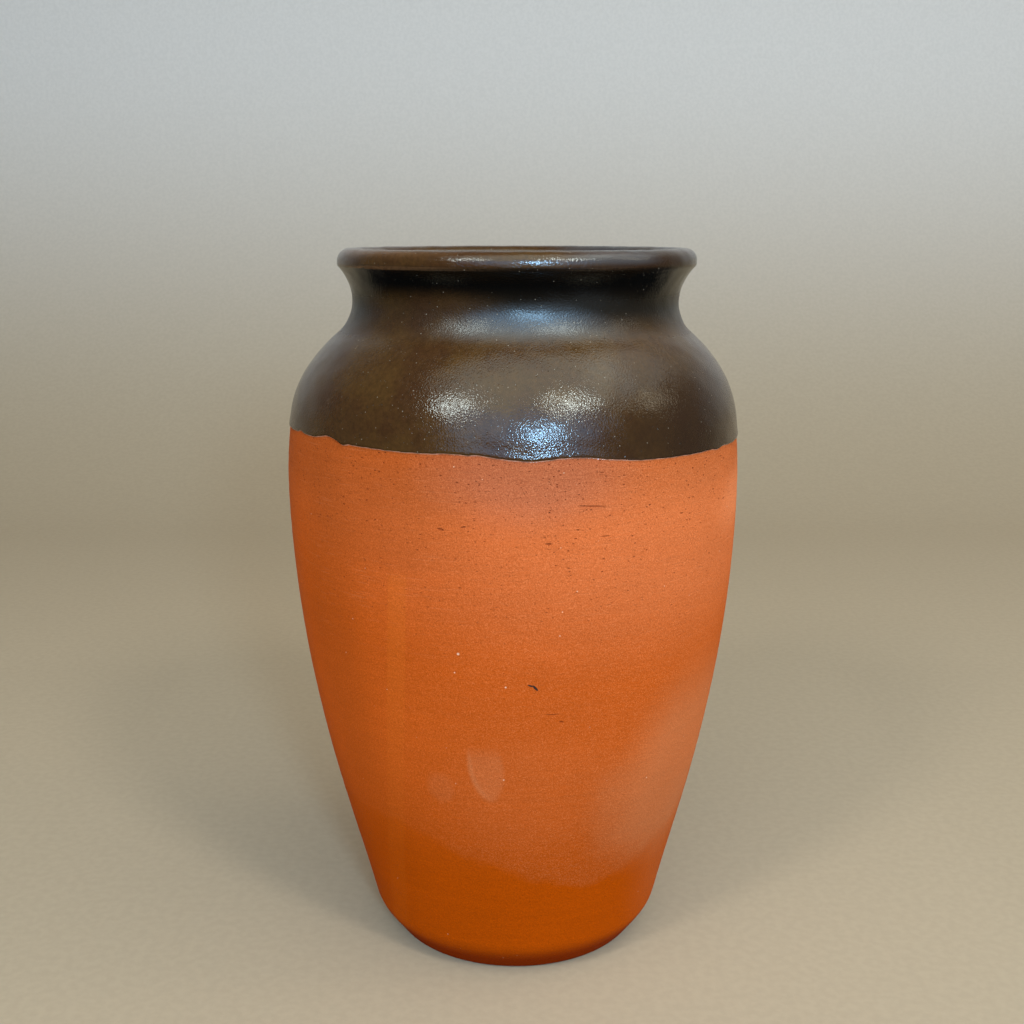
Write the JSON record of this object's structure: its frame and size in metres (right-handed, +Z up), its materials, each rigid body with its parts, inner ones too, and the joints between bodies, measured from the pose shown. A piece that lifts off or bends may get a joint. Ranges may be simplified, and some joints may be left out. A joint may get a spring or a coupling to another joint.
{
  "type": "terracotta vase",
  "caption": "Wheel-thrown red earthenware vase with a round belly, short flared neck and rolled lip, its top dipped in dark brown glaze over bare terracotta.",
  "frame": {"origin": "centre of the foot, on the surface that the vase stands on", "axes": "+Z up along the axis that the vase was thrown on, -Y towards the front that the picture shows"},
  "size_m": [0.1408, 0.1408, 0.22],
  "materials": {
    "terracotta": "matte fired red earthenware with fine grain and turning lines",
    "dark_glaze": "satin brown-black glaze with a fine sandy surface",
    "liner_glaze": "satin brown-black glaze over thrown rings"
  },
  "bodies": {
    "root": {"clay_body": "terracotta", "shoulder_glaze": "dark_glaze", "liner_glaze": "liner_glaze"}
  },
  "joints": []
}
